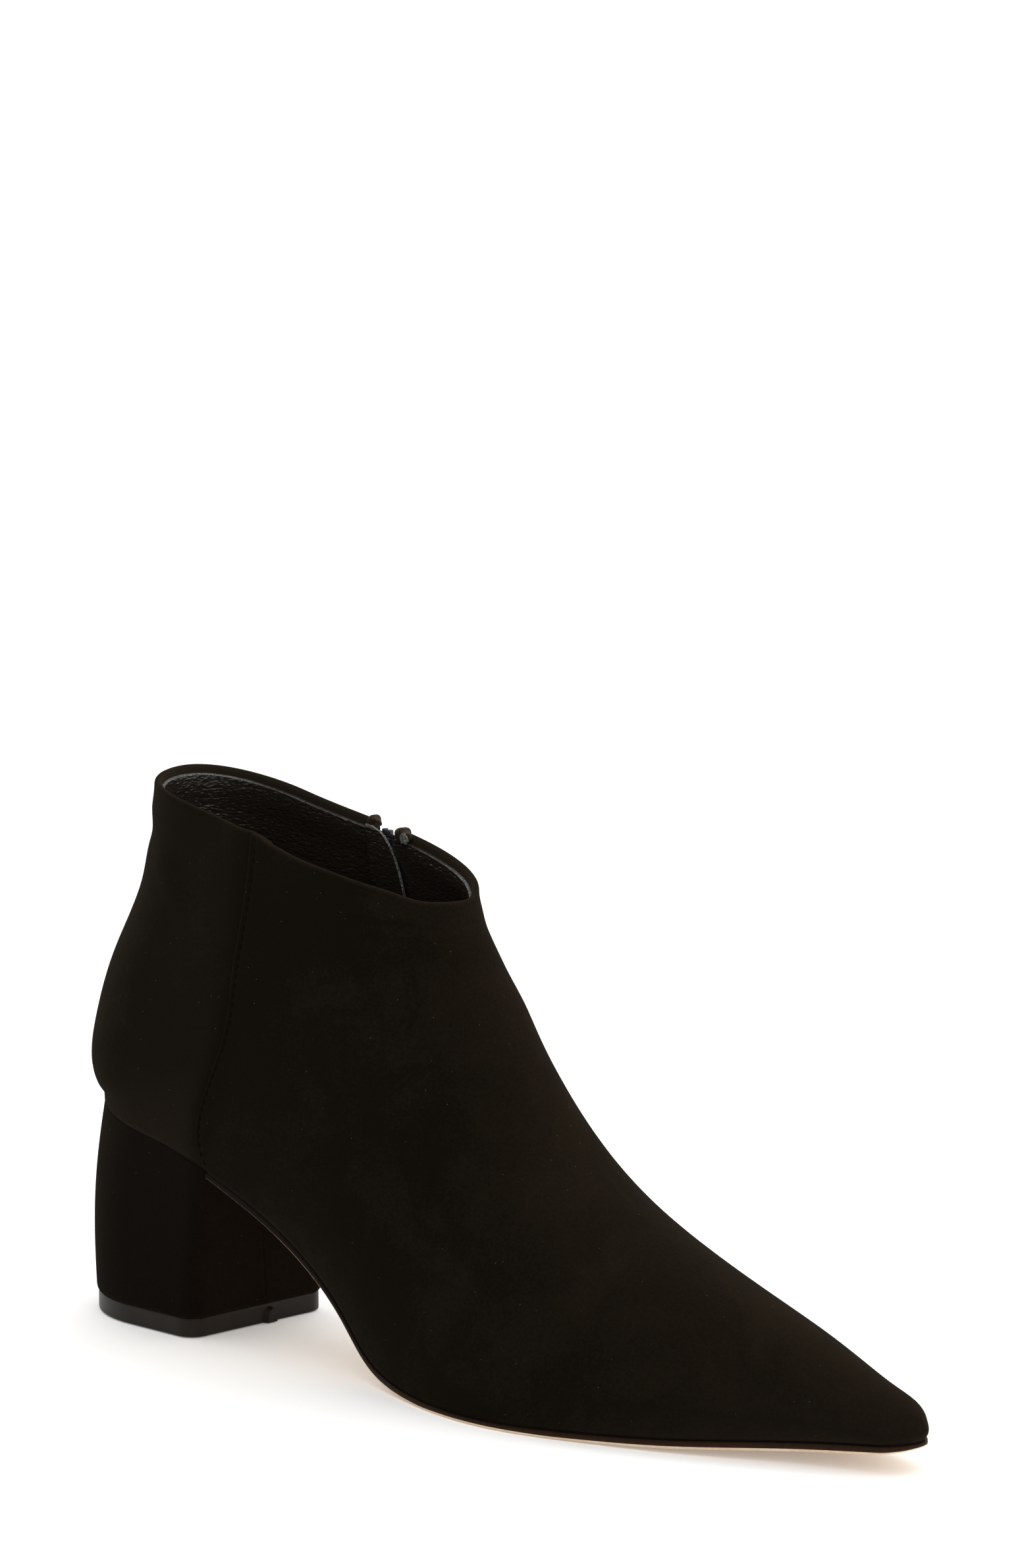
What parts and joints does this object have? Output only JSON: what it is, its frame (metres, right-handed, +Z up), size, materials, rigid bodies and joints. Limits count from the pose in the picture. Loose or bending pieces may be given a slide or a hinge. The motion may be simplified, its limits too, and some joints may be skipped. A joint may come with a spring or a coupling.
{
  "type": "pointed toe bootie",
  "caption": "Black suede ankle bootie, right shoe, with a pointed toe, block heel, thin leather sole, open collar and an inner side zip whose pull tab swings.",
  "frame": {"origin": "on the floor, under the middle of the shoe's bounding box", "axes": "+X from heel to toe, +Y to the inner (medial) side with the zip, +Z up from the floor"},
  "size_m": [0.2696, 0.0698, 0.149],
  "materials": {
    "suede": "black suede with a short matt nap",
    "sole_leather": "dark brown sole leather with a stained edge",
    "sock_leather": "black lining leather",
    "lift_rubber": "satin black rubber",
    "zip_cloth": "black woven tape",
    "zip_teeth": "black coil",
    "zip_metal": "dark nickel plating"
  },
  "bodies": {
    "shoe": {"upper": "suede", "outsole": "sole_leather", "insole": "sock_leather", "heel": "suede", "heel_lift": "lift_rubber", "zip_tape_rear": "zip_cloth", "zip_tape_front": "zip_cloth", "zip_chain": "zip_teeth", "zip_slider": "zip_metal"},
    "pull_tab": {"zip_pull": "zip_metal"}
  },
  "joints": [
    {"name": "pull_swing", "type": "hinge", "parent": "shoe", "child": "pull_tab", "pos_m": [-0.0529, 0.0204, 0.12911], "axis": [0.9975, -0.0515, 0.0487], "range_deg": [0, 170]}
  ]
}
